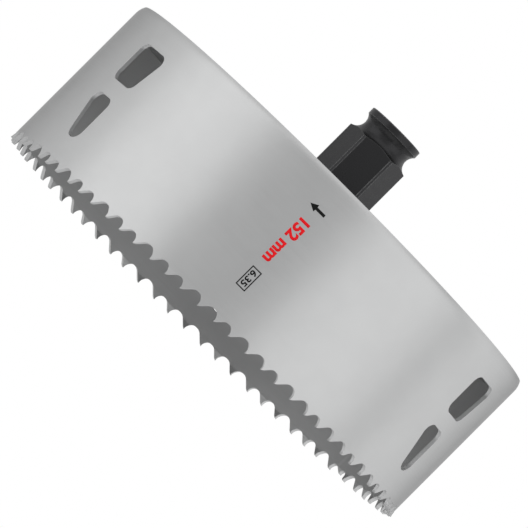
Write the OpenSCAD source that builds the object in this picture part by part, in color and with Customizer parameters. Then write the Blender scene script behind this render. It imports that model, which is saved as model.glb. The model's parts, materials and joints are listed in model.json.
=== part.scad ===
// Hole saw of large diameter: a toothed steel band rolled into a ring, a back plate welded into it,
// and a hexagonal quick-change plug held in the plate by a nut.
// +Z is the axis, from the tooth tips up to the plug. The origin is on the axis, in the plane of the
// tooth tips, so the saw stands on its teeth on Z = 0. It cuts clockwise, seen from the plug.

/* [Cup] */
// Outside diameter of the cup
cup_d = 152; // [127:1:168]
// Height of the cup, from the tooth tips to the back rim
cup_h = 53.2; // [50:0.1:60]
// Thickness of the band
wall_t = 1.2; // [1:0.05:1.5]
// Radius on which the back edge of the band curls in
curl_r = 5.7; // [4:0.1:8]
// Height of the curled edge
curl_h = 2.85; // [2:0.05:3.5]

/* [Teeth] */
// Pitch from an outward tooth to the inward tooth that follows it
pitch_out = 6.47; // [6:0.01:7]
// Pitch from an inward tooth to the straight tooth that follows it
pitch_in = 6.88; // [6:0.01:7.5]
// Pitch from a straight tooth to the outward tooth that follows it
pitch_straight = 5.88; // [5.6:0.01:6.5]
// Gullet depth, as a share of the pitch
gullet_share = 0.438; // [0.42:0.001:0.46]
// How far the tip of a set tooth leans out or in
tooth_set = 0.4; // [0.2:0.05:0.6]
// Height of the line at which the set teeth are bent
bend_h = 2.2; // [1.8:0.05:2.25]
// Width of the honed flat on a tooth tip
tip_flat = 0.28; // [0.15:0.01:0.4]
// Width of the relief facet behind a tooth tip
relief_w = 0.75; // [0.5:0.05:0.9]
// Rise of the relief facet
relief_rise = 0.43; // [0.3:0.01:0.5]

/* [Butt weld] */
// Azimuth of the short tooth beside the weld
weld_az = 39.7; // [0:0.1:359]
// Pitch from the last tooth to the short tooth
weld_pitch_before = 4.78; // [4.4:0.01:5.5]
// Pitch from the short tooth to the first tooth
weld_pitch_after = 4.24; // [4.1:0.01:5.5]
// Gullet depth beside the short tooth
weld_gullet = 2.35; // [2.3:0.01:2.6]
// How much shorter the short tooth is
weld_tooth_drop = 0.85; // [0:0.05:1.2]

/* [Chip slots] */
// Angle from the short tooth to the first pair of slots
slot_first = 70.2; // [50:0.1:80]
// Angle from one pair of slots to the next
slot_step = 122.4; // [110:0.1:124]
// Number of pairs
slot_pairs = 3; // [1:1:3]
// Band left between the back plate and the upper slot
slot_below_plate = 3; // [1:0.1:4]
// Band left between the two slots of a pair
slot_bridge = 5.3; // [3:0.1:6]
// Height of the upper slot
upper_slot_h = 13.7; // [10:0.1:15]
// Width of the upper slot at its top
upper_slot_w = 14.3; // [12:0.1:16]
// Width of the upper slot at its bottom
upper_slot_foot_w = 12.5; // [10:0.1:14]
// Height of the lower slot
lower_slot_h = 15.5; // [12:0.1:16]
// Width of the lower slot at its top
lower_slot_w = 10.2; // [8:0.1:12]
// Width of the lower slot at its round bottom end
lower_slot_foot_w = 6.4; // [5:0.1:7]
// Corner radius of the slots
slot_corner_r = 2.7; // [1:0.1:3]

/* [Back plate] */
// Thickness of the back plate
plate_t = 5; // [4:0.1:5.5]
// How far the plate's back face lies below the rim
plate_recess = 0.5; // [0.3:0.05:1]
// Radial gap between plate and band
plate_gap = 0.05; // [0.02:0.01:0.2]

/* [Coupling plug] */
// Hexagon across its flats
hex_af = 18.8; // [17:0.1:20]
// Diameter to which the hexagon's corners are turned
hex_turned_d = 21.2; // [20:0.1:23]
// Height of the plug above the plate
plug_h = 26.5; // [24:0.1:30]
// Diameter of the end flange
flange_d = 18.5; // [17.5:0.1:20]
// Height of the end flange, down to the middle of the lock groove
flange_h = 4.6; // [4.2:0.1:5.5]
// Radius of the lock groove's section
groove_r = 3.34; // [2.8:0.01:3.6]
// Diameter of the neck at the bottom of the lock groove
neck_d = 16.1; // [15.5:0.1:17]
// Bore for the pilot drill
pilot_bore_d = 10.5; // [8:0.1:11]
// Chamfer at the edge of the end flange
flange_chamfer = 0.15; // [0.1:0.05:0.6]
// Chamfer at both mouths of the pilot bore
bore_chamfer = 0.8; // [0.3:0.1:1.2]
// Diameter of the shank inside the plate
shank_d = 18.4; // [17.5:0.1:18.6]
// Width over the two flats of the shank
shank_flat_w = 16.4; // [16.2:0.1:17.2]
// Gap around the shank in the plate
shank_gap = 0.1; // [0.05:0.01:0.2]
// Diameter of the threaded end
thread_d = 16; // [14:0.1:16.1]
// Pitch of its thread, which is left out; outside the nut, the end has the size of the thread's core
thread_pitch = 1.5; // [1:0.25:1.5]
// Length of the thread that stands out of the nut
thread_out = 3; // [1:0.1:4]
// Chamfer at the end of the thread
thread_chamfer = 0.4; // [0.2:0.1:0.6]

/* [Retaining nut] */
// Nut across its flats
nut_af = 24; // [22:0.5:28]
// Thickness of the nut
nut_t = 8; // [6:0.1:10]
// Radial gap between nut and thread
nut_gap = 0.05; // [0.02:0.01:0.1]
// Height of the chamfer on the nut's corners
nut_chamfer = 1; // [0.4:0.1:1.5]

/* [Hidden] */

// Segments of the large and of the small curves in the preview mesh
fine = 240;
round = 48;
// How far a cutter runs past the face that it cuts
past = 1;
// How far an outline's straight sides lie inside its circles, so that the two cross cleanly
side_inset = 0.002;

cup_r = cup_d / 2;
inner_r = cup_r - wall_t;
curl_z = cup_h - curl_h;
plate_top = cup_h - plate_recess;
plate_bottom = plate_top - plate_t;
plug_top = plate_top + plug_h;
groove_z = plug_top - flange_h;
groove_mid_r = neck_d / 2 + groove_r;
nut_bottom = plate_bottom - nut_t;
thread_end = nut_bottom - thread_out;
thread_core_r = thread_d / 2 - 0.6134 * thread_pitch;

// Radii and middle of a gullet's outline, as shares of its pitch
back_arc_share = 0.363;
root_arc_share = 0.263;
back_mid_share = 0.683;
// Stretch of band that carries one tooth: ahead of its face and behind its tip, as shares of the pitch
ahead_share = 0.15;
behind_share = 0.6;
// The setting press leaves the wall this much proud at a tooth's root, up to this far above the bend
swell = 0.01;
swell_h = 0.3;

OUTWARD = 1;
INWARD = -1;
STRAIGHT = 0;

// The teeth run clockwise from the short one: two teeth, whole groups of three, and the weld again
circumference = PI * cup_d;
group_nominal = pitch_out + pitch_in + pitch_straight;
weld_stretch = weld_pitch_after + pitch_in + weld_pitch_before;
groups = round((circumference - weld_stretch) / group_nominal);
pitch_fit = (circumference - weld_stretch) / (groups * group_nominal);
tooth_sets = concat(
    [OUTWARD, INWARD, STRAIGHT],
    [for (group = [1 : groups]) each [OUTWARD, INWARD, STRAIGHT]]
);
pitches = concat(
    [weld_pitch_after, pitch_in, pitch_straight * pitch_fit],
    [for (group = [1 : groups]) each [
        pitch_out * pitch_fit,
        pitch_in * pitch_fit,
        group < groups ? pitch_straight * pitch_fit : weld_pitch_before
    ]]
);
teeth = len(tooth_sets);

function azimuth_of(length) = length / cup_r * 180 / PI;
function sum_before(values, count) = count == 0 ? 0 : values[count - 1] + sum_before(values, count - 1);
function tooth_azimuth(tooth) = weld_az - azimuth_of(sum_before(pitches, tooth));
function tip_height(tooth) = tooth % teeth == 0 ? weld_tooth_drop : 0;
function beside_weld(gap) = gap == 0 || gap == teeth - 1;

// Tangent line between two circles [x, y, r] of an outline that runs counter-clockwise
function outward_normal(a, b) =
    let (
        step = [b[0] - a[0], b[1] - a[1]],
        length = norm(step),
        along = step / length,
        lean = (a[2] - b[2]) / length
    )
    along * lean + [along[1], -along[0]] * sqrt(1 - lean * lean);
function side_point(circle, normal) =
    [circle[0], circle[1]] + max(circle[2] - side_inset, 0) * normal;

// Outline around circles given counter-clockwise; a radius of 0 is a sharp corner
module outline(circles) {
    count = len(circles);
    polygon([
        for (i = [0 : count - 1])
            let (normal = outward_normal(circles[i], circles[(i + 1) % count]))
                each [
                    side_point(circles[i], normal),
                    side_point(circles[(i + 1) % count], normal)
                ]
    ]);
    for (circle = circles)
        if (circle[2] > 0)
            translate([circle[0], circle[1]])
                circle(r = circle[2], $fn = round);
}

// Cutter through the wall at an azimuth: the outline's x runs counter-clockwise round the cup
module through_wall(azimuth) {
    rotate([0, 0, azimuth])
        translate([inner_r - tooth_set - past, 0, 0])
            rotate([90, 0, 90])
                linear_extrude(wall_t + 2 * tooth_set + 2 * past)
                    children();
}

// Gullet between the back of one tooth, at the left, and the upright face of the next
module gullet(gap) {
    pitch = pitches[gap];
    depth = beside_weld(gap) ? weld_gullet : gullet_share * pitch;
    back_r = back_arc_share * pitch;
    root_r = root_arc_share * pitch;
    tip_x = -pitch / 2 + tip_flat;
    tip_z = tip_height(gap + 1);
    through_wall((tooth_azimuth(gap) + tooth_azimuth(gap + 1)) / 2)
        outline([
            [tip_x, -past, 0],
            [pitch / 2, -past, 0],
            [pitch / 2 - root_r, depth - root_r, root_r],
            [(back_mid_share - 0.5) * pitch, depth - back_r, back_r],
            [tip_x + relief_w, tip_z + relief_rise, 0],
            [tip_x, tip_z, 0]
        ]);
}

// Stretch of wall that becomes one tooth: it laps into the ring and leans by its set below the bend line
module tooth_blank(tooth) {
    pitch_behind = pitches[(tooth + teeth - 1) % teeth];
    ahead = azimuth_of(ahead_share * pitches[tooth]);
    behind = azimuth_of(behind_share * pitch_behind);
    tip_z = tip_height(tooth);
    lean = tooth_sets[tooth] * tooth_set * (bend_h - tip_z) / bend_h;
    rotate([0, 0, tooth_azimuth(tooth) - ahead])
        rotate_extrude(angle = ahead + behind, $fn = fine)
            polygon([
                [inner_r + lean, tip_z],
                [cup_r + lean, tip_z],
                [cup_r + swell, bend_h],
                [cup_r + swell, bend_h + swell_h],
                [inner_r - swell, bend_h + swell_h],
                [inner_r - swell, bend_h]
            ]);
}

// Section of the band above the bend line, with its curled back edge
module band_section() {
    translate([inner_r, bend_h])
        square([wall_t, curl_z - bend_h]);
    intersection() {
        difference() {
            translate([cup_r - curl_r, curl_z])
                circle(r = curl_r, $fn = fine);
            translate([cup_r - curl_r, curl_z])
                circle(r = curl_r - wall_t, $fn = fine);
        }
        translate([cup_r - curl_r, curl_z])
            square([curl_r + past, curl_h]);
    }
}

// Upper slot, from its straight side at x = 0
module upper_slot() {
    top = plate_bottom - slot_below_plate - slot_corner_r;
    bottom = plate_bottom - slot_below_plate - upper_slot_h + slot_corner_r;
    outline([
        [slot_corner_r, bottom, slot_corner_r],
        [upper_slot_foot_w - slot_corner_r, bottom, slot_corner_r],
        [upper_slot_w - slot_corner_r, top, slot_corner_r],
        [slot_corner_r, top, slot_corner_r]
    ]);
}

// Lower slot, in line with the upper one and narrowing to a round end
module lower_slot() {
    top = plate_bottom - slot_below_plate - upper_slot_h - slot_bridge;
    foot_r = lower_slot_foot_w / 2;
    outline([
        [lower_slot_w - foot_r, top - lower_slot_h + foot_r, foot_r],
        [lower_slot_w - slot_corner_r, top - slot_corner_r, slot_corner_r],
        [slot_corner_r, top - slot_corner_r, slot_corner_r]
    ]);
}

// Pair of slots whose straight sides are in line, each cut square to the wall at its own middle
module chip_slots(start) {
    through_wall(start + azimuth_of(upper_slot_w / 2))
        translate([-upper_slot_w / 2, 0])
            upper_slot();
    through_wall(start + azimuth_of(lower_slot_w / 2))
        translate([-lower_slot_w / 2, 0])
            lower_slot();
}

// The band above the bend line, with its slots
module slotted_ring() {
    difference() {
        rotate_extrude($fn = fine)
            band_section();
        for (pair = [0 : slot_pairs - 1])
            chip_slots(weld_az - slot_first - pair * slot_step);
    }
}

module toothed_band() {
    color("#b9bcbd")
        difference() {
            union() {
                slotted_ring();
                for (tooth = [0 : teeth - 1])
                    tooth_blank(tooth);
            }
            for (gap = [0 : teeth - 1])
                gullet(gap);
        }
}

// The plate fills the band's inside and follows its curled edge
module plate_section() {
    edge_r = inner_r - plate_gap;
    translate([0, plate_bottom])
        square([edge_r, curl_z - plate_bottom]);
    intersection() {
        translate([0, curl_z])
            square([edge_r, plate_top - curl_z]);
        union() {
            translate([cup_r - curl_r, curl_z])
                circle(r = curl_r - wall_t - plate_gap, $fn = fine);
            translate([0, curl_z])
                square([cup_r - curl_r, curl_h]);
        }
    }
}

// Round with two flats, for the shank and for its hole
module shank_outline(gap) {
    intersection() {
        circle(d = shank_d + 2 * gap, $fn = round);
        square([shank_d + 2 * gap + past, shank_flat_w + 2 * gap], center = true);
    }
}

module back_plate() {
    color("#b3b6b7")
        difference() {
            rotate_extrude($fn = fine)
                plate_section();
            translate([0, 0, plate_bottom - past])
                linear_extrude(plate_t + 2 * past)
                    shank_outline(shank_gap);
        }
}

// The hexagon runs on past the middle of the lock groove, which cuts it off
module drive_hexagon() {
    height = groove_z + past - plate_top;
    intersection() {
        translate([0, 0, plate_top])
            cylinder(d = hex_af / cos(30), h = height, $fn = 6);
        translate([0, 0, plate_top])
            cylinder(d = hex_turned_d, h = height, $fn = fine);
    }
}

module end_flange() {
    flange_r = flange_d / 2;
    rotate_extrude($fn = fine)
        polygon([
            [0, groove_z],
            [flange_r, groove_z],
            [flange_r, plug_top - flange_chamfer],
            [flange_r - flange_chamfer, plug_top],
            [0, plug_top]
        ]);
}

// The threaded end and, above it, the core of the shank, which runs up into the hexagon
module threaded_end() {
    thread_r = thread_d / 2;
    rotate_extrude($fn = fine)
        polygon([
            [0, thread_end],
            [thread_core_r - thread_chamfer, thread_end],
            [thread_core_r, thread_end + thread_chamfer],
            [thread_core_r, nut_bottom],
            [thread_r, nut_bottom],
            [thread_r, plate_top + past],
            [0, plate_top + past]
        ]);
}

// Bore with a chamfer at each mouth
module pilot_bore() {
    bore_r = pilot_bore_d / 2;
    mouth_r = bore_r + bore_chamfer + past;
    rotate_extrude($fn = fine)
        polygon([
            [0, thread_end - past],
            [mouth_r, thread_end - past],
            [bore_r, thread_end + bore_chamfer],
            [bore_r, plug_top - bore_chamfer],
            [mouth_r, plug_top + past],
            [0, plug_top + past]
        ]);
}

module lock_groove() {
    rotate_extrude($fn = fine)
        translate([groove_mid_r, groove_z])
            circle(r = groove_r, $fn = fine);
}

module coupling_plug() {
    color("#2c2d2e")
        difference() {
            union() {
                drive_hexagon();
                end_flange();
                translate([0, 0, plate_bottom])
                    linear_extrude(plate_t)
                        shank_outline(0);
                threaded_end();
            }
            lock_groove();
            pilot_bore();
        }
}

module retaining_nut() {
    corner_r = nut_af / 2 / cos(30);
    flat_r = nut_af / 2;
    color("#8d9092")
        difference() {
            intersection() {
                translate([0, 0, nut_bottom])
                    cylinder(r = corner_r, h = nut_t, $fn = 6);
                rotate_extrude($fn = fine)
                    polygon([
                        [0, nut_bottom],
                        [flat_r, nut_bottom],
                        [corner_r + past, nut_bottom + nut_chamfer * (corner_r + past - flat_r) / (corner_r - flat_r)],
                        [corner_r + past, plate_bottom],
                        [0, plate_bottom]
                    ]);
            }
            translate([0, 0, nut_bottom - past])
                cylinder(d = thread_d + 2 * nut_gap, h = nut_t + 2 * past, $fn = fine);
        }
}

toothed_band();
back_plate();
coupling_plug();
retaining_nut();
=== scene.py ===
"""Looks of a large hole saw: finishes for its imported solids, and the small pieces that the solids leave out.

The saw stands on its teeth, with +Z along its axis up to the coupling plug. The photograph's camera looks at
it from the -Y side, from just below the plane of the teeth, and is rolled so that the axis points to the
picture's upper right. Lengths are in metres and angles in degrees, unless a name says otherwise.
"""
import json
import logging
import math
from dataclasses import dataclass
from enum import Enum

import bpy
from mathutils import Matrix, Vector

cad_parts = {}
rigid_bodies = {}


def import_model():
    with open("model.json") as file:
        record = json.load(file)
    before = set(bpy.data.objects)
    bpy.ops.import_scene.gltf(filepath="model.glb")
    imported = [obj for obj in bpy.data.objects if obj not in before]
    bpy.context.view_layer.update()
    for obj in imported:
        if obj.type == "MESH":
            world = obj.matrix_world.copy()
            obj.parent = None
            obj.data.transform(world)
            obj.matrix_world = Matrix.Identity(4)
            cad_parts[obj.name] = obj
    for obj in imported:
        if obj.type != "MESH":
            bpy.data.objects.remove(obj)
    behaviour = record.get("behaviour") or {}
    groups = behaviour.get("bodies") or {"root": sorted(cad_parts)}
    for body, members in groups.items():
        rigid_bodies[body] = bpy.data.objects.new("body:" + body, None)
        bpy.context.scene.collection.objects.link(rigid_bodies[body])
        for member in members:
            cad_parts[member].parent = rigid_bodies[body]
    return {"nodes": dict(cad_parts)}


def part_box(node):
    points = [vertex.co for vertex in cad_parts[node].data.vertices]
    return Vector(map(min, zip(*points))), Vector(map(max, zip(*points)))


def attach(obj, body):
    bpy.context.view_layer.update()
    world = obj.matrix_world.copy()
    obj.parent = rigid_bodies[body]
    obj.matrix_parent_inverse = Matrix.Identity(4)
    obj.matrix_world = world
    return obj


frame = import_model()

MM = 0.001
BODY = "root"
TURN = 2 * math.pi
# Distance below which two places count as one.
TOUCH = 0.001 * MM
# Angle between two faces up to which they are shaded as one round surface.
SMOOTH_ANGLE = 30.0
# Range that most values of a noise pattern lie in.
NOISE_LOW = 0.3
NOISE_HIGH = 0.7
# Length over which one zone of a finish fades into the next.
ZONE_FADE = 1 * MM

Colour = tuple[float, float, float]
Sockets = tuple[bpy.types.NodeSocket, bpy.types.NodeSocket]
log = logging.getLogger("hole_saw")


class Grain(Enum):
    """Direction in which a surface was rolled, turned or ground."""

    ROUND_THE_AXIS = "round the axis, on an upright wall"
    RINGS = "rings round the axis, on a flat face"
    EVEN = "no direction"


def deselect_all() -> None:
    """Deselect every object, so that an operator acts only on what is picked next."""
    for thing in bpy.context.view_layer.objects:
        thing.select_set(False)


def pick(thing: bpy.types.Object) -> None:
    """Make one object the only selected and the active one.

    Args:
        thing: The object to pick.
    """
    deselect_all()
    thing.select_set(True)
    bpy.context.view_layer.objects.active = thing


def edit(thing: bpy.types.Object) -> None:
    """Pick an object and open it in edit mode."""
    pick(thing)
    bpy.ops.object.mode_set(mode="EDIT")


def keep_vertices_selected(thing: bpy.types.Object) -> None:
    """Open an object in edit mode with only the vertices that are marked on its mesh.

    Args:
        thing: The object, which is the active one.
    """
    for part in (*thing.data.edges, *thing.data.polygons):
        part.select = False
    bpy.ops.object.mode_set(mode="EDIT")


def leave_edit() -> None:
    """Go back to object mode."""
    bpy.ops.object.mode_set(mode="OBJECT")


def face_outwards() -> None:
    """Turn all faces of the mesh in edit mode outwards, and go back to object mode."""
    bpy.ops.mesh.select_all(action="SELECT")
    bpy.ops.mesh.normals_make_consistent(inside=False)
    leave_edit()


def grey(level: float) -> tuple[float, float, float, float]:
    """Return a grey as red, green, blue and alpha."""
    return (level, level, level, 1.0)


def settle(piece: bpy.types.Object, name: str, material: bpy.types.Material) -> None:
    """Finish a piece: its place goes into its mesh, and it rides on the saw's body.

    Args:
        piece: The modelled piece.
        name: Its name, in a maker's words.
        material: Its finish.
    """
    pick(piece)
    bpy.ops.object.transform_apply(location=True, rotation=True, scale=True)
    piece.name = name
    piece.data.name = name
    piece.data.materials.clear()
    piece.data.materials.append(material)
    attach(piece, BODY)
    log.info("%s: %d faces", name, len(piece.data.polygons))


class ShaderSheet:
    """A material's node tree, written as calls that return sockets.

    Attributes:
        MIX_COLOURS: Numbers of a Mix node's inputs for colours, whose names it uses more than once.
        MIX_RESULT: Number of its output for a colour.
        BEVEL_SAMPLES: Number of rays that find an edge to be rounded.
    """

    MIX_COLOURS = (6, 7)
    MIX_RESULT = 2
    BEVEL_SAMPLES = 4

    def __init__(self, name: str) -> None:
        """Start an empty material.

        Args:
            name: The material's name.
        """
        self.material = bpy.data.materials.new(name)
        self.material.use_nodes = True
        self.tree = self.material.node_tree
        self.tree.nodes.clear()
        self.output = self.tree.nodes.new("ShaderNodeOutputMaterial")

    def node(self, kind: str, inputs: dict, **settings: object) -> bpy.types.Node:
        """Add a node.

        Args:
            kind: The node's type, without its ShaderNode prefix.
            inputs: Values or sockets by input name or number.
            **settings: The node's own settings.

        Returns:
            The node.
        """
        made = self.tree.nodes.new("ShaderNode" + kind)
        for key, value in settings.items():
            setattr(made, key, value)
        for key, value in inputs.items():
            if isinstance(value, bpy.types.NodeSocket):
                self.tree.links.new(value, made.inputs[key])
            else:
                made.inputs[key].default_value = value
        return made

    def maths(self, operation: str, *terms: object) -> bpy.types.NodeSocket:
        """Combine one to three numbers with a Math node and return its socket."""
        return self.node("Math", dict(enumerate(terms)), operation=operation).outputs[0]

    def between(
        self, value: object, low: float, high: float, to_low: float, to_high: float,
    ) -> bpy.types.NodeSocket:
        """Map a number smoothly from one range to another and return its socket."""
        inputs = {"Value": value, "From Min": low, "From Max": high, "To Min": to_low, "To Max": to_high}
        return self.node("MapRange", inputs, interpolation_type="SMOOTHSTEP").outputs[0]

    def vary(self, pattern: bpy.types.NodeSocket, mean: float, by: float) -> bpy.types.NodeSocket:
        """Let a number vary round its mean with a noise pattern and return its socket."""
        return self.between(pattern, NOISE_LOW, NOISE_HIGH, mean - by, mean + by)

    def blend(self, share: object, first: Colour, second: Colour) -> bpy.types.NodeSocket:
        """Mix two colours.

        Args:
            share: Share of the second colour.
            first: The first colour.
            second: The second colour.

        Returns:
            The mixed colour's socket.
        """
        made = self.node("Mix", {0: share}, data_type="RGBA")
        for number, colour in zip(self.MIX_COLOURS, (first, second)):
            made.inputs[number].default_value = (*colour, 1)
        return made.outputs[self.MIX_RESULT]

    def scaled(self, colour: Colour, gain: object) -> bpy.types.NodeSocket:
        """Make a colour brighter or darker and return its socket."""
        return self.node("VectorMath", {0: colour, "Scale": gain}, operation="SCALE").outputs[0]

    def noise(self, place: object, scale: float, detail: float = 2) -> bpy.types.NodeSocket:
        """Add a noise pattern at a place and return its value."""
        return self.node("TexNoise", {"Vector": place, "Scale": scale, "Detail": detail}).outputs[0]

    def dot(self, first: object, second: object) -> bpy.types.NodeSocket:
        """Return the dot product of two vectors."""
        return self.node("VectorMath", {0: first, 1: second}, operation="DOT_PRODUCT").outputs["Value"]

    def from_axis(self) -> bpy.types.NodeSocket:
        """Return the distance from the saw's axis."""
        _, x, y, _ = self.place()
        return self.node("VectorMath", {0: self.vector(x, y, 0.0)}, operation="LENGTH").outputs["Value"]

    def rounded(self, radius: float) -> bpy.types.NodeSocket:
        """Return the normal, rounded off at edges by a radius."""
        return self.node("Bevel", {"Radius": radius}, samples=self.BEVEL_SAMPLES).outputs[0]

    def bump(self, height: object, depth: float, normal: object) -> bpy.types.NodeSocket:
        """Return the normal of a surface that a pattern raises by up to a depth."""
        inputs = {"Height": height, "Distance": depth, "Strength": 1.0, "Normal": normal}
        return self.node("Bump", inputs).outputs[0]

    def place(self) -> tuple[bpy.types.NodeSocket, ...]:
        """Read where on the piece a point lies.

        Returns:
            The Object coordinates as a vector, and as x, y and z.
        """
        vector = self.node("TexCoord", {}).outputs["Object"]
        parts = self.node("SeparateXYZ", {0: vector}).outputs
        return vector, parts[0], parts[1], parts[2]

    def vector(self, x: object, y: object, z: object) -> bpy.types.NodeSocket:
        """Join three numbers to a vector."""
        return self.node("CombineXYZ", {0: x, 1: y, 2: z}).outputs[0]

    def finish(self, surface: bpy.types.NodeSocket) -> bpy.types.Material:
        """Connect the surface and return the material."""
        self.tree.links.new(surface, self.output.inputs["Surface"])
        return self.material


@dataclass(frozen=True)
class SteelFinish:
    """Satin coated or bare steel with a fine grain.

    Attributes:
        name: The material's name.
        colour: Reflection straight on.
        edge_tint: Reflection at a grazing angle, against that of a perfect mirror.
        roughness: Mean roughness.
        grain: Direction of the grain.
        grain_depth: Height of the grain.
        grain_width: Width of one line of the grain.
        mottle: Share by which the colour varies in patches.
        patch: Size of those patches.
        edge_round: Radius of the rounding that broken edges show.
        seam_azimuth: Azimuth of the butt weld, at which the grain starts and ends.
        grain_stretch: Length of one line of the grain, against its width.
        grain_detail: Number of finer patterns within the grain.
        roughness_spread: How much the roughness varies with the grain.
    """

    name: str
    colour: Colour
    edge_tint: float
    roughness: float
    grain: Grain
    grain_depth: float
    grain_width: float
    mottle: float
    patch: float
    edge_round: float = 0.15 * MM
    seam_azimuth: float = 41.5
    grain_stretch: float = 60
    grain_detail: float = 3
    roughness_spread: float = 0.04

    def pattern(self, sheet: ShaderSheet, radius: float) -> Sockets:
        """Lay the grain in its direction.

        Args:
            sheet: The material's node tree.
            radius: Radius at which lengths round the axis are true.

        Returns:
            The grain's value, and the length round the axis from the butt weld.
        """
        vector, _, _, z = sheet.place()
        turned = sheet.node(
            "VectorRotate", {"Vector": vector, "Angle": math.radians(180 - self.seam_azimuth)},
            rotation_type="Z_AXIS",
        ).outputs[0]
        parts = sheet.node("SeparateXYZ", {0: turned}).outputs
        azimuth = sheet.maths("ARCTAN2", parts[1], parts[0])
        along = sheet.maths("MULTIPLY", azimuth, radius)
        if self.grain is Grain.EVEN:
            return sheet.noise(vector, 1 / self.grain_width, self.grain_detail), along
        across = z if self.grain is Grain.ROUND_THE_AXIS else sheet.from_axis()
        stretched = sheet.vector(
            sheet.maths("MULTIPLY", along, 1 / (self.grain_stretch * self.grain_width)),
            sheet.maths("MULTIPLY", across, 1 / self.grain_width),
            0.0,
        )
        return sheet.noise(stretched, 1, self.grain_detail), along

    def zones(
        self, sheet: ShaderSheet, light: bpy.types.NodeSocket, rough: bpy.types.NodeSocket,
        along: bpy.types.NodeSocket, radius: float,
    ) -> Sockets:
        """Return the brightness and the roughness by zone. Plain steel has no zones."""
        return light, rough

    def material(self, radius: float) -> bpy.types.Material:
        """Make the material.

        Args:
            radius: Radius at which lengths round the axis are true.

        Returns:
            The material.
        """
        sheet = ShaderSheet(self.name)
        grain, along = self.pattern(sheet, radius)
        patches = sheet.noise(sheet.place()[0], 1 / self.patch)
        light = sheet.maths("ADD", sheet.vary(patches, 1.0, self.mottle), sheet.vary(grain, 0.0, self.mottle))
        rough = sheet.vary(grain, self.roughness, self.roughness_spread)
        light, rough = self.zones(sheet, light, rough, along, radius)
        shader = sheet.node("BsdfPrincipled", {
            "Base Color": sheet.scaled(self.colour, light), "Metallic": 1.0, "Roughness": rough,
            "Normal": sheet.bump(grain, self.grain_depth, sheet.rounded(self.edge_round)),
            "Specular Tint": grey(self.edge_tint),
        })
        return sheet.finish(shader.outputs[0])


@dataclass(frozen=True)
class BandFinish(SteelFinish):
    """The band's coating, with its butt weld, painted shade on its dull inside, and the bare faces of slots
    and gullets.

    Attributes:
        seam_width: Width of the ground butt weld.
        seam_fade: Width over which each of the weld's sides fades out.
        seam_light: How much brighter the weld is.
        rim_painted_shade: Brightness of the inside behind the teeth, against the outside, darkened as painted
            shade.
        inside_painted_shade: Brightness of the inside above them, with a little painted shade.
        rim_height: Height at which the painted shade on the inside starts to lift.
        inside_roughness: Roughness of the inside.
        cut_light: Brightness of the punched and ground faces, against the outside.
        cut_roughness: Roughness of those faces.
        curl_height: Height above which the band curls in, and has no cut faces.
        cut_lean: Part of a face's normal along the radius, up to which the face counts as cut.
        wall_lean: Part of a face's normal along the radius, from which the face counts as the wall's.
    """

    seam_width: float = 1.4 * MM
    seam_fade: float = 0.21 * MM
    seam_light: float = 0.1
    rim_painted_shade: float = 0.8
    inside_painted_shade: float = 0.98
    rim_height: float = 7 * MM
    inside_roughness: float = 0.6
    cut_light: float = 1.3
    cut_roughness: float = 0.62
    curl_height: float = 46 * MM
    cut_lean: float = 0.5
    wall_lean: float = 0.8

    def zones(
        self, sheet: ShaderSheet, light: bpy.types.NodeSocket, rough: bpy.types.NodeSocket,
        along: bpy.types.NodeSocket, radius: float,
    ) -> Sockets:
        """Lay the weld, the inside with its painted shade, and the cut faces over the coating.

        Args:
            sheet: The material's node tree.
            light: Brightness of the coating.
            rough: Its roughness.
            along: Length round the axis, which wraps at the weld.
            radius: Radius at which that length is true.

        Returns:
            Brightness and roughness with the zones.
        """
        from_seam = sheet.maths("SUBTRACT", math.pi * radius, sheet.maths("ABSOLUTE", along))
        seam_side = self.seam_width / 2
        seam = sheet.between(from_seam, seam_side - self.seam_fade, seam_side, self.seam_light, 0.0)
        _, x, y, z = sheet.place()
        outwards = sheet.node("VectorMath", {0: sheet.vector(x, y, 0.0)}, operation="NORMALIZE").outputs[0]
        lean = sheet.dot(sheet.node("NewGeometry", {}).outputs["True Normal"], outwards)
        inside = sheet.between(lean, -self.wall_lean, -self.cut_lean, 1.0, 0.0)
        across = sheet.between(sheet.maths("ABSOLUTE", lean), self.cut_lean, self.wall_lean, 1.0, 0.0)
        below_curl = sheet.between(z, self.curl_height, self.curl_height + ZONE_FADE, 1.0, 0.0)
        cut = sheet.maths("MULTIPLY", across, below_curl)
        # Painted shade: the inside's colour is darkened, most behind the teeth and a little above them.
        painted_shade_gain = sheet.between(
            z, self.rim_height, 2 * self.rim_height, self.rim_painted_shade - 1, self.inside_painted_shade - 1,
        )
        light = sheet.maths("ADD", light, seam)
        for zone, gain, zone_rough in (
            (inside, painted_shade_gain, self.inside_roughness),
            (cut, self.cut_light - 1, self.cut_roughness),
        ):
            light = sheet.maths("MULTIPLY", light, sheet.maths("MULTIPLY_ADD", zone, gain, 1.0))
            rough = sheet.maths("MULTIPLY_ADD", zone, zone_rough - self.roughness, rough)
        return light, rough


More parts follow.
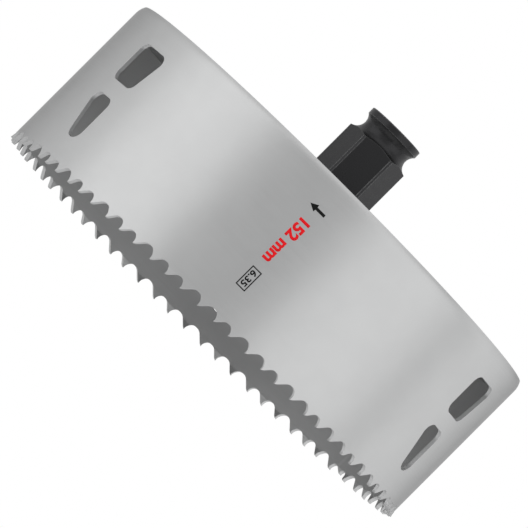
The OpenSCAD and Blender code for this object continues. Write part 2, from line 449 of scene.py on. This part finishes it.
@dataclass(frozen=True)
class BlackenedFinish:
    """Machined steel, blackened and rubbed at its edges, with a painted sheen under the flange, where the
    holder's balls lock.

    Attributes:
        name: The material's name.
        colour: Colour of the flats.
        rubbed_and_sheen: Colour of the rubbed edges, and of the painted sheen under the flange.
        edge_tint: Reflection at a grazing angle, against that of a perfect mirror.
        roughness: Mean roughness.
        edge: Width of the rubbed edge.
        lock_height: Height of the middle of the lock groove, above which faces that face down get the painted
            sheen.
        underside_painted_sheen: Share of the lighter colour under the flange, which is a painted sheen.
        lip_height: Height of the lip where the hexagon runs into the lock groove.
        lip_wear: Share of the rubbed colour at that lip.
        tool_mark: Pitch of the tool marks.
        tool_depth: Depth of the tool marks.
        lip_reach: How far the lip's lesser wear reaches up and down.
        lip_fade: Height over which it ends.
        edge_cosine: Cosine between the rounded and the true normal, at which an edge is rubbed in full.
        flat_cosine: Cosine from which nothing is rubbed.
        level_lean: Downward part of a face's normal, up to which the face gets no painted sheen.
        under_lean: Downward part from which the face gets the painted sheen in full.
        blotch: Size of the patches in which the wear and the painted sheen vary.
        blotch_detail: Number of finer patterns within them.
        blotch_full_wear_and_sheen: Value of that pattern from which the wear and the painted sheen are full.
        least_wear_and_sheen: Share of the wear and the painted sheen where they are least.
        roughness_spread: How much the roughness varies in those patches.
        metallic: How much of the reflection is a metal's.
        specular: Strength of the rest of the reflection.
    """

    name: str
    colour: Colour
    rubbed_and_sheen: Colour
    edge_tint: float
    roughness: float
    edge: float
    lock_height: float
    underside_painted_sheen: float
    lip_height: float
    lip_wear: float
    tool_mark: float
    tool_depth: float
    lip_reach: float = 0.5 * MM
    lip_fade: float = 0.4 * MM
    edge_cosine: float = 0.965
    flat_cosine: float = 0.997
    level_lean: float = 0.1
    under_lean: float = 0.5
    blotch: float = 1.76 * MM
    blotch_detail: float = 3
    blotch_full_wear_and_sheen: float = 0.6
    least_wear_and_sheen: float = 0.5
    roughness_spread: float = 0.05
    metallic: float = 0.7
    specular: float = 0.15

    def material(self) -> bpy.types.Material:
        """Make the material.

        Returns:
            The material.
        """
        sheet = ShaderSheet(self.name)
        vector, _, _, z = sheet.place()
        marks = sheet.noise(sheet.vector(0.0, 0.0, sheet.maths("MULTIPLY", z, 1 / self.tool_mark)), 1)
        blotches = sheet.noise(vector, 1 / self.blotch, self.blotch_detail)
        soft = sheet.rounded(self.edge)
        sharp = sheet.node("NewGeometry", {}).outputs["Normal"]
        from_lip = sheet.maths("ABSOLUTE", sheet.maths("SUBTRACT", z, self.lip_height))
        most = sheet.between(from_lip, self.lip_reach, self.lip_reach + self.lip_fade, self.lip_wear, 1.0)
        edges = sheet.between(sheet.dot(soft, sharp), self.edge_cosine, self.flat_cosine, 1.0, 0.0)
        # Painted sheen: faces under the flange that face down are made lighter, as a painted reflection.
        above = sheet.between(z, self.lock_height, self.lock_height + ZONE_FADE, 0.0, self.underside_painted_sheen)
        downwards = sheet.dot(sharp, (0.0, 0.0, -1.0))
        under = sheet.between(downwards, self.level_lean, self.under_lean, 0.0, 1.0)
        # Real wear on the edges, and the painted sheen under the flange.
        rubbed_and_sheen = sheet.maths(
            "MAXIMUM", sheet.maths("MULTIPLY", most, edges), sheet.maths("MULTIPLY", above, under),
        )
        patchy = sheet.between(blotches, NOISE_LOW, self.blotch_full_wear_and_sheen, self.least_wear_and_sheen, 1.0)
        shader = sheet.node("BsdfPrincipled", {
            "Base Color": sheet.blend(sheet.maths("MULTIPLY", rubbed_and_sheen, patchy), self.colour, self.rubbed_and_sheen),
            "Roughness": sheet.vary(blotches, self.roughness, self.roughness_spread),
            "Metallic": self.metallic, "Normal": sheet.bump(marks, self.tool_depth, soft),
            "Specular IOR Level": self.specular, "Specular Tint": grey(self.edge_tint),
        })
        return sheet.finish(shader.outputs[0])


@dataclass(frozen=True)
class InkFinish:
    """Pad-printed ink.

    Attributes:
        name: The material's name.
        colour: The ink's colour.
        roughness: Mean roughness.
        roughness_spread: How much the roughness varies in the specks.
        speck: Size of the specks in the ink.
        speck_light: Share by which the colour varies in them.
        specular: Strength of the ink's reflection.
    """

    name: str
    colour: Colour
    roughness: float = 0.45
    roughness_spread: float = 0.05
    speck: float = 0.3 * MM
    speck_light: float = 0.08
    specular: float = 0.1

    def material(self) -> bpy.types.Material:
        """Make the material.

        Returns:
            The material.
        """
        sheet = ShaderSheet(self.name)
        specks = sheet.noise(sheet.place()[0], 1 / self.speck)
        shader = sheet.node("BsdfPrincipled", {
            "Base Color": sheet.scaled(self.colour, sheet.vary(specks, 1.0, self.speck_light)),
            "Roughness": sheet.vary(specks, self.roughness, self.roughness_spread),
            "Specular IOR Level": self.specular,
        })
        return sheet.finish(shader.outputs[0])


COATED_BAND = BandFinish(
    "satin_coated_sheet", colour=(0.33, 0.332, 0.333), edge_tint=0.45, roughness=0.38,
    grain=Grain.ROUND_THE_AXIS, grain_depth=0.002 * MM, grain_width=0.25 * MM, mottle=0.012, patch=9 * MM,
)
COATED_PLATE = SteelFinish(
    "satin_coated_plate", colour=(0.32, 0.322, 0.323), edge_tint=0.45, roughness=0.38, grain=Grain.RINGS,
    grain_depth=0.004 * MM, grain_width=0.35 * MM, mottle=0.02, patch=12 * MM,
)
NUT_STEEL = SteelFinish(
    "machined_nut_steel", colour=(0.42, 0.42, 0.425), edge_tint=0.7, roughness=0.32, grain=Grain.RINGS,
    grain_depth=0.004 * MM, grain_width=0.3 * MM, mottle=0.03, patch=5 * MM,
)
WELD_STEEL = SteelFinish(
    "tempered_weld_steel", colour=(0.40, 0.385, 0.36), edge_tint=0.7, roughness=0.34, grain=Grain.EVEN,
    grain_depth=0.01 * MM, grain_width=0.4 * MM, mottle=0.05, patch=3 * MM,
)
BLACKENED = BlackenedFinish(
    "blackened_bar_steel", colour=(0.025, 0.025, 0.026), rubbed_and_sheen=(0.15, 0.15, 0.152), edge_tint=0.6,
    roughness=0.3, edge=0.3 * MM, lock_height=74.6 * MM, underside_painted_sheen=0.3, lip_height=71.8 * MM, lip_wear=0.2,
    tool_mark=0.22 * MM, tool_depth=0.003 * MM,
)
RED_INK = InkFinish("red_ink", colour=(0.69, 0.008, 0.012))
BLACK_INK = InkFinish("black_ink", colour=(0.003, 0.0035, 0.0035))


def dress(node_name: str, material: bpy.types.Material) -> None:
    """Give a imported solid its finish.

    Args:
        node_name: The solid's node.
        material: The finish.
    """
    node = frame["nodes"][node_name]
    node.material_slots[0].material = material
    log.info("%s: dressed in %s", node_name, material.name)


@dataclass
class Cup:
    """The toothed band and the back plate, with the weld that joins them.

    Attributes:
        bead_radius: Distance of the weld bead from the axis.
        bead_half_width: Half of its width.
        bead_height: Its height above the plate.
        ripple_pitch: Length of one ripple of the weld.
        ripple_depth: Depth of the valleys between the ripples.
        bead_sides: Number of faces round the bead's section.
        bead_join: Distance within which the bead's two ends are joined.
        tooth_zone: Height below which the teeth are set out of the wall.
    """

    bead_radius: float = 73.45 * MM
    bead_half_width: float = 0.62 * MM
    bead_height: float = 0.36 * MM
    ripple_pitch: float = 1.3 * MM
    ripple_depth: float = 0.1 * MM
    bead_sides: int = 10
    bead_join: float = 0.01 * MM
    tooth_zone: float = 10 * MM

    def wall_radius(self) -> float:
        """Return the outside radius of the wall, measured above the set teeth."""
        points = [vertex.co for vertex in frame["nodes"]["toothed_band"].data.vertices]
        return max(point.xy.length for point in points if point.z > self.tooth_zone)

    def build(self) -> None:
        """Dress both solids and add the weld."""
        low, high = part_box("back_plate")
        radius = (high.x - low.x) / 2
        dress("toothed_band", COATED_BAND.material(radius))
        dress("back_plate", COATED_PLATE.material(radius))
        self.rim_weld(high.z)

    def rim_weld(self, plate_top: float) -> None:
        """Model the weld bead in the corner between the plate and the curled band.

        Args:
            plate_top: Height of the plate's back face.
        """
        deselect_all()
        bpy.ops.mesh.primitive_circle_add(
            vertices=self.bead_sides, radius=self.bead_half_width,
            location=(self.bead_radius, 0, plate_top), rotation=(math.pi / 2, 0, 0),
        )
        bead = bpy.context.object
        edit(bead)
        bpy.ops.mesh.select_all(action="SELECT")
        bpy.ops.transform.resize(value=(1, 1, self.bead_height / self.bead_half_width))
        leave_edit()
        bpy.ops.object.transform_apply(location=True, rotation=True, scale=True)
        rings = 2 * round(TURN * self.bead_radius / self.ripple_pitch)
        edit(bead)
        bpy.ops.mesh.select_all(action="SELECT")
        bpy.ops.mesh.spin(steps=rings, angle=TURN, center=(0, 0, 0), axis=(0, 0, 1))
        bpy.ops.mesh.select_all(action="SELECT")
        bpy.ops.mesh.remove_doubles(threshold=self.bead_join)
        face_outwards()
        step = TURN / rings
        for vertex in bead.data.vertices:
            place = round(math.atan2(vertex.co.y, vertex.co.x) / step)
            vertex.select = place % 2 == 1
        keep_vertices_selected(bead)
        bpy.ops.transform.shrink_fatten(value=-self.ripple_depth)
        leave_edit()
        bpy.ops.object.shade_smooth()
        settle(bead, "rim_weld_bead", WELD_STEEL.material(self.bead_radius))


@dataclass
class Coupling:
    """The plug that the holder takes, the nut that keeps it in the plate, and the turns of its thread.

    Attributes:
        thread_radius: Radius of the thread's crests.
        core_radius: Radius of the solid core that the turns stand on.
        foot_depth: How far a turn's foot reaches into the core.
        thread_pitch: Pitch of the thread.
        crest_flat: Width of a crest.
        flank_angle: Angle of a flank from the plane across the axis.
        lead: Length of the core's chamfer, behind which the turns start.
        turn_steps: Number of steps in one turn.
        spare_turns: Number of turns past the thread's length, which are cut off at its ends.
    """

    thread_radius: float = 8.0 * MM
    core_radius: float = 7.08 * MM
    foot_depth: float = 0.06 * MM
    thread_pitch: float = 1.5 * MM
    crest_flat: float = 0.19 * MM
    flank_angle: float = 30.0
    lead: float = 0.4 * MM
    turn_steps: int = 48
    spare_turns: int = 2

    def build(self) -> None:
        """Dress both solids, and cut the thread's turns on the end that stands out of the nut."""
        low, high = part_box("retaining_nut")
        black = BLACKENED.material()
        dress("coupling_plug", black)
        dress("retaining_nut", NUT_STEEL.material((high.x - low.x) / 2))
        self.thread_turns(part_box("coupling_plug")[0].z + self.lead, low.z, black)

    def thread_turns(self, end: float, nut_face: float, material: bpy.types.Material) -> None:
        """Model the thread between the plug's end and the nut.

        Args:
            end: Height at which the turns start.
            nut_face: Height of the nut's lower face.
            material: The plug's finish.
        """
        depth = self.thread_radius - self.core_radius + self.foot_depth
        foot_width = self.crest_flat + 2 * depth * math.tan(math.radians(self.flank_angle))
        turns = math.ceil((nut_face - end) / self.thread_pitch) + self.spare_turns
        middle = self.thread_radius - depth / 2
        deselect_all()
        bpy.ops.mesh.primitive_plane_add(
            size=1, location=(middle, 0, end - self.thread_pitch), rotation=(math.pi / 2, 0, 0),
        )
        thread = bpy.context.object
        thread.scale = (depth, foot_width, 1)
        bpy.ops.object.transform_apply(location=True, rotation=True, scale=True)
        for vertex in thread.data.vertices:
            vertex.select = vertex.co.x > middle
        keep_vertices_selected(thread)
        bpy.ops.transform.resize(value=(1, 1, self.crest_flat / foot_width))
        leave_edit()
        screw = thread.modifiers.new("turns", "SCREW")
        screw.screw_offset = self.thread_pitch
        screw.iterations = turns
        screw.steps = self.turn_steps
        screw.render_steps = self.turn_steps
        bpy.ops.object.modifier_apply(modifier=screw.name)
        edit(thread)
        bpy.ops.mesh.select_all(action="SELECT")
        bpy.ops.mesh.normals_make_consistent(inside=False)
        for height, upper in ((end, False), (nut_face, True)):
            bpy.ops.mesh.select_all(action="SELECT")
            bpy.ops.mesh.bisect(
                plane_co=(0, 0, height), plane_no=(0, 0, 1), use_fill=True,
                clear_inner=not upper, clear_outer=upper, threshold=TOUCH,
            )
        leave_edit()
        self.chamfer_end(thread, end)
        bpy.ops.object.shade_smooth_by_angle(angle=math.radians(SMOOTH_ANGLE))
        settle(thread, "thread_turns", material)

    def chamfer_end(self, thread: bpy.types.Object, end: float) -> None:
        """Carry the core's chamfer of 45 degrees on over the first crests.

        Args:
            thread: The turns.
            end: Height at which they start.
        """
        for vertex in thread.data.vertices:
            reach = vertex.co.xy.length
            most = self.core_radius + vertex.co.z - end
            if reach > most:
                vertex.co.xy *= most / reach


@dataclass
class Print:
    """Printed marks on the cup's wall: the size, the tooth pitch and the cutting direction.

    Attributes:
        wall_radius: Outside radius of the cup.
        ink_foot: How far the ink reaches below that radius, down to the facets of the wall.
        ink_top: How far it stands proud.
        azimuth: Azimuth of the column of print.
        curve_steps: Number of steps in each curve of a figure.
        size_words: The size, as it is printed.
        size_top: Height at which the size starts. It reads down towards the teeth.
        size_length: Its length.
        size_bold: How much its strokes are fattened, as a share of the font's size.
        letter_height: Height of its figures.
        pitch_words: The tooth pitch in millimetres, as it is printed.
        pitch_bold: How much its strokes are fattened, as a share of the font's size.
        pitch_margin: Gap between its figures and each end of the box, as a share of the box's length.
        pitch_height: Height of its figures, as a share of the box's width.
        box_top: Height at which the box with the tooth pitch starts.
        box_length: The box's length along the axis.
        box_width: The box's width.
        line: Width of the box's line.
        arrow_height: Height of the arrow's middle.
        arrow_length: Length of the arrow.
        arrow_head: Length of its head.
        arrow_width: Width of its head.
        arrow_sweep: How far the head's barbs lie in front of the shaft's end.
        arrow_shaft: Width of its shaft.
    """

    wall_radius: float
    ink_foot: float = 0.06 * MM
    ink_top: float = 0.02 * MM
    azimuth: float = -90.0
    curve_steps: int = 8
    size_words: str = "152 mm"
    size_top: float = 38.3 * MM
    size_length: float = 15.7 * MM
    size_bold: float = 0.04
    letter_height: float = 3.8 * MM
    pitch_words: str = "6.35"
    pitch_bold: float = 0.03
    pitch_margin: float = 0.13
    pitch_height: float = 0.6
    box_top: float = 19.2 * MM
    box_length: float = 7.1 * MM
    box_width: float = 3.5 * MM
    line: float = 0.34 * MM
    arrow_height: float = 43.0 * MM
    arrow_length: float = 5.6 * MM
    arrow_head: float = 2.4 * MM
    arrow_width: float = 2.4 * MM
    arrow_sweep: float = 0.1 * MM
    arrow_shaft: float = 0.9 * MM

    def build(self) -> None:
        """Print all the marks."""
        red = RED_INK.material()
        black = BLACK_INK.material()
        size = self.lettering(self.size_words, self.size_length, self.letter_height, self.size_bold)
        self.lay(size, self.size_top, "printed_size", red)
        margin = self.pitch_margin * self.box_length
        pitch_length = self.box_length - 2 * margin
        pitch = self.lettering(
            self.pitch_words, pitch_length, self.pitch_height * self.box_width, self.pitch_bold,
        )
        self.lay(pitch, self.box_top - margin, "printed_tooth_pitch", black)
        self.lay(self.box_outline(), self.box_top, "printed_box", black)
        self.lay(self.arrow(), self.arrow_height, "printed_arrow", black)

    def lettering(self, words: str, length: float, height: float, bold: float) -> bpy.types.Object:
        """Write plain figures, flat, from x = 0 along +X and centred on y = 0.

        Args:
            words: What is written.
            length: Length of the line.
            height: Height of the figures.
            bold: How much each stroke is fattened, as a share of the font's size.

        Returns:
            The flat mesh.
        """
        deselect_all()
        bpy.ops.object.text_add()
        text = bpy.context.object
        text.data.body = words
        text.data.offset = bold
        text.data.resolution_u = self.curve_steps
        pick(text)
        bpy.ops.object.convert(target="MESH")
        text = bpy.context.object
        xs = [vertex.co.x for vertex in text.data.vertices]
        ys = [vertex.co.y for vertex in text.data.vertices]
        spread = Vector((length / (max(xs) - min(xs)), height / (max(ys) - min(ys)), 1))
        start = Vector((min(xs), (max(ys) + min(ys)) / 2, 0))
        for vertex in text.data.vertices:
            vertex.co = (vertex.co - start) * spread
        return text

    def box_outline(self) -> bpy.types.Object:
        """Model the flat outline of the box, from x = 0 along +X.

        Returns:
            The flat mesh.
        """
        deselect_all()
        bpy.ops.mesh.primitive_plane_add(size=1, location=(self.box_length / 2, 0, 0))
        box = bpy.context.object
        box.scale = (self.box_length, self.box_width, 1)
        bpy.ops.object.transform_apply(location=True, rotation=True, scale=True)
        edit(box)
        bpy.ops.mesh.select_all(action="SELECT")
        bpy.ops.mesh.inset(thickness=self.line, use_even_offset=True)
        bpy.ops.mesh.delete(type="FACE")
        leave_edit()
        return box

    def arrow(self) -> bpy.types.Object:
        """Model a flat arrow that points to -Y, which becomes the cutting direction.

        Returns:
            The flat mesh: a shaft whose front edge is extruded twice, out to the barbs and on to the tip.
        """
        shaft = self.arrow_length - self.arrow_head
        deselect_all()
        bpy.ops.mesh.primitive_plane_add(size=1, location=(0, self.arrow_length / 2 - shaft / 2, 0))
        arrow = bpy.context.object
        arrow.scale = (self.arrow_shaft, shaft, 1)
        bpy.ops.object.transform_apply(location=True, rotation=True, scale=True)
        front = self.arrow_length / 2 - shaft
        barbs = front - self.arrow_sweep
        edit(arrow)
        self.select_front(arrow, front)
        bpy.ops.mesh.extrude_edges_move(TRANSFORM_OT_translate={"value": (0, -self.arrow_sweep, 0)})
        widen = self.arrow_width / self.arrow_shaft
        bpy.ops.transform.resize(value=(widen, 1, 1), center_override=(0, barbs, 0))
        to_tip = self.arrow_head - self.arrow_sweep
        bpy.ops.mesh.extrude_edges_move(TRANSFORM_OT_translate={"value": (0, -to_tip, 0)})
        bpy.ops.mesh.merge(type="CENTER")
        leave_edit()
        return arrow

    @staticmethod
    def select_front(flat: bpy.types.Object, front: float) -> None:
        """Select the edge of a flat mesh that lies at a given y, in edit mode.

        Args:
            flat: The flat mesh's object.
            front: The edge's y.
        """
        bpy.ops.mesh.select_all(action="DESELECT")
        leave_edit()
        for edge in flat.data.edges:
            edge.select = all(abs(flat.data.vertices[i].co.y - front) < TOUCH for i in edge.vertices)
        bpy.ops.object.mode_set(mode="EDIT")

    def lay(self, flat: bpy.types.Object, top: float, name: str, material: bpy.types.Material) -> None:
        """Give a flat mark its thickness, and lay it round the wall.

        Args:
            flat: The mark, whose +X runs down the wall and whose +Y runs counter-clockwise round it.
            top: Height at which its x = 0 lies.
            name: Its name.
            material: Its ink.
        """
        pick(flat)
        solid = flat.modifiers.new("ink", "SOLIDIFY")
        solid.thickness = self.ink_foot + self.ink_top
        solid.offset = 0
        bpy.ops.object.modifier_apply(modifier=solid.name)
        for vertex in flat.data.vertices:
            x, y, z = vertex.co
            radius = self.wall_radius + (self.ink_top if z > 0 else -self.ink_foot)
            turn = math.radians(self.azimuth) + y / self.wall_radius
            vertex.co = (radius * math.cos(turn), radius * math.sin(turn), top - x)
        edit(flat)
        face_outwards()
        settle(flat, name, material)


@dataclass(frozen=True)
class StripLamp:
    """A large soft lamp that faces the saw.

    Attributes:
        name: The lamp's name.
        azimuth: Where it stands round the axis, from the camera's side (-Y) towards +X.
        width: Its width.
        power: Its power in watts.
        elevation: How high it stands, as an angle seen from the saw.
        height: Its height.
        distance: Its distance from the point that it faces.
    """

    name: str
    azimuth: float
    width: float
    power: float
    elevation: float = 0.0
    height: float = 1.6
    distance: float = 0.9

    def build(self, target: Vector) -> None:
        """Hang the lamp.

        Args:
            target: The point that it faces.
        """
        data = bpy.data.lights.new(self.name, "AREA")
        data.shape = "RECTANGLE"
        data.size = self.width
        data.size_y = self.height
        data.energy = self.power
        lamp = bpy.data.objects.new(self.name, data)
        bpy.context.scene.collection.objects.link(lamp)
        turn = math.radians(self.azimuth)
        rise = math.radians(self.elevation)
        away = Vector((math.sin(turn) * math.cos(rise), -math.cos(turn) * math.cos(rise), math.sin(rise)))
        lamp.location = target + self.distance * away
        lamp.rotation_euler = away.to_track_quat("Z", "Y").to_euler()
        lamp.visible_camera = False


@dataclass
class Studio:
    """Camera, lamps, white ground and floor.

    Attributes:
        picture_span: Length that the picture's side shows, in the plane of the axis.
        camera_drop: How far below the horizon the camera stands, as an angle.
        axis_tilt: Angle between the saw's axis and the picture's upright.
        lens: Focal length in millimetres.
        sensor: Sensor width in millimetres.
        clip_start: Distance from the camera at which things start to show.
        clip_end: Distance up to which they show.
        aim: The point that the picture's middle shows.
        floor_radius: Radius of the floor.
        floor_clear: Radius within which the floor is plain, before it fades into the white ground.
        floor_sides: Number of the floor's sides.
        floor_grey: Grey of the floor in the open.
        floor_glow: Light that the floor gives off in the open, which keeps it white from above.
        shade_grey: Grey of the painted shade that the floor turns towards under the cup.
        shade_share: Share of the open floor's light and grey that the painted shade leaves under the cup.
        shade_edge: Width over which the painted shade under the cup ends.
        cup_radius: Radius of the cup, under which the floor gets the painted shade.
        ambient: Level of the even light that falls on matt surfaces.
        lamps: The lamps.
    """

    picture_span: float = 149.96 * MM
    camera_drop: float = 3.06
    axis_tilt: float = 45.0
    lens: float = 1650.0
    sensor: float = 36.0
    clip_start: float = 0.1
    clip_end: float = 20.0
    aim: Vector = Vector((0.17 * MM, 0, 25.6 * MM))
    floor_radius: float = 0.45
    floor_clear: float = 0.2
    floor_sides: int = 96
    floor_grey: float = 0.5
    floor_glow: float = 0.53
    shade_grey: float = 0.1
    shade_share: float = 0.15
    shade_edge: float = 4 * MM
    cup_radius: float = 76 * MM
    ambient: float = 0.6
    lamps: tuple[StripLamp, ...] = (
        StripLamp("left_front_lamp", azimuth=-65, width=0.95, power=5.2),
        StripLamp("left_back_lamp", azimuth=-124, width=0.9, power=2.0),
        StripLamp("right_front_lamp", azimuth=47, width=1.0, power=4.6),
        StripLamp("right_back_lamp", azimuth=118, width=1.0, power=4.3),
        StripLamp("top_lamp", azimuth=0, width=1.0, power=2.2, elevation=70, height=1.0),
    )

    def build(self) -> None:
        """Set up the camera, the light and the ground."""
        self.camera()
        self.white_ground()
        self.floor()
        for lamp in self.lamps:
            lamp.build(self.aim)

    def camera(self) -> None:
        """Set the camera as the photograph shows the saw."""
        data = bpy.data.cameras.new("camera")
        data.lens = self.lens
        data.sensor_width = self.sensor
        data.clip_start = self.clip_start
        data.clip_end = self.clip_end
        camera = bpy.data.objects.new("camera", data)
        bpy.context.scene.collection.objects.link(camera)
        drop = math.radians(self.camera_drop)
        tilt = math.radians(self.axis_tilt)
        back = Vector((0, -math.cos(drop), -math.sin(drop)))
        side = Vector((1, 0, 0))
        up = Vector((0, -math.sin(drop), math.cos(drop)))
        right_in_picture = math.cos(tilt) * side + math.sin(tilt) * up
        up_in_picture = math.cos(tilt) * up - math.sin(tilt) * side
        turned = Matrix((right_in_picture, up_in_picture, back)).transposed()
        distance = self.picture_span * self.lens / self.sensor
        camera.matrix_world = Matrix.Translation(self.aim + distance * back) @ turned.to_4x4()
        bpy.context.scene.camera = camera

    def white_ground(self) -> None:
        """Make the world white to the camera and in reflections, with an even light on matt surfaces."""
        world = bpy.data.worlds.new("white_ground")
        bpy.context.scene.world = world
        world.use_nodes = True
        tree = world.node_tree
        tree.nodes.clear()
        path = tree.nodes.new("ShaderNodeLightPath")
        seen = path.outputs["Is Camera Ray"]
        for name in ("Is Glossy Ray", "Is Transmission Ray"):
            either = tree.nodes.new("ShaderNodeMath")
            either.operation = "MAXIMUM"
            tree.links.new(seen, either.inputs[0])
            tree.links.new(path.outputs[name], either.inputs[1])
            seen = either.outputs[0]
        even = tree.nodes.new("ShaderNodeBackground")
        even.inputs["Strength"].default_value = self.ambient
        white = tree.nodes.new("ShaderNodeBackground")
        white.inputs["Strength"].default_value = 1
        for light in (even, white):
            light.inputs["Color"].default_value = grey(1.0)
        mix = tree.nodes.new("ShaderNodeMixShader")
        tree.links.new(seen, mix.inputs[0])
        tree.links.new(even.outputs[0], mix.inputs[1])
        tree.links.new(white.outputs[0], mix.inputs[2])
        output = tree.nodes.new("ShaderNodeOutputWorld")
        tree.links.new(mix.outputs[0], output.inputs["Surface"])

    def floor(self) -> None:
        """Lay a pale floor under the teeth that fades into the white ground, with painted shade under the cup.
        """
        deselect_all()
        bpy.ops.mesh.primitive_circle_add(
            vertices=self.floor_sides, radius=self.floor_radius, fill_type="NGON",
        )
        floor = bpy.context.object
        floor.name = "floor"
        sheet = ShaderSheet("pale_floor")
        plain = sheet.between(sheet.from_axis(), self.floor_clear, self.floor_radius, 1.0, 0.0)
        seen = sheet.node("LightPath", {}).outputs["Is Camera Ray"]
        front = sheet.maths("SUBTRACT", 1.0, sheet.node("NewGeometry", {}).outputs["Backfacing"])
        share = sheet.maths("MULTIPLY", plain, sheet.maths("MULTIPLY", seen, front))
        # Painted shade: the floor's grey and glow are lowered under the cup.
        shade_start = self.cup_radius - self.shade_edge
        beyond = sheet.between(sheet.from_axis(), shade_start, self.cup_radius, self.shade_share, 1.0)
        colour = sheet.blend(beyond, (self.shade_grey,) * 3, (self.floor_grey,) * 3)
        matt = sheet.node("BsdfDiffuse", {"Color": colour}).outputs[0]
        strength = sheet.maths("MULTIPLY", beyond, self.floor_glow)
        glow = sheet.node("Emission", {"Color": grey(1.0), "Strength": strength}).outputs[0]
        lit = sheet.node("AddShader", {0: matt, 1: glow}).outputs[0]
        clear = sheet.node("BsdfTransparent", {}).outputs[0]
        mixed = sheet.node("MixShader", {0: share, 1: clear, 2: lit}).outputs[0]
        floor.data.materials.append(sheet.finish(mixed))


def main() -> None:
    logging.basicConfig(level=logging.INFO, format="%(name)s: %(message)s")
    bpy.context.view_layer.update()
    bpy.context.scene.view_settings.view_transform = "Standard"
    cup = Cup()
    cup.build()
    Coupling().build()
    Print(wall_radius=cup.wall_radius()).build()
    Studio().build()


if __name__ == "__main__":
    main()
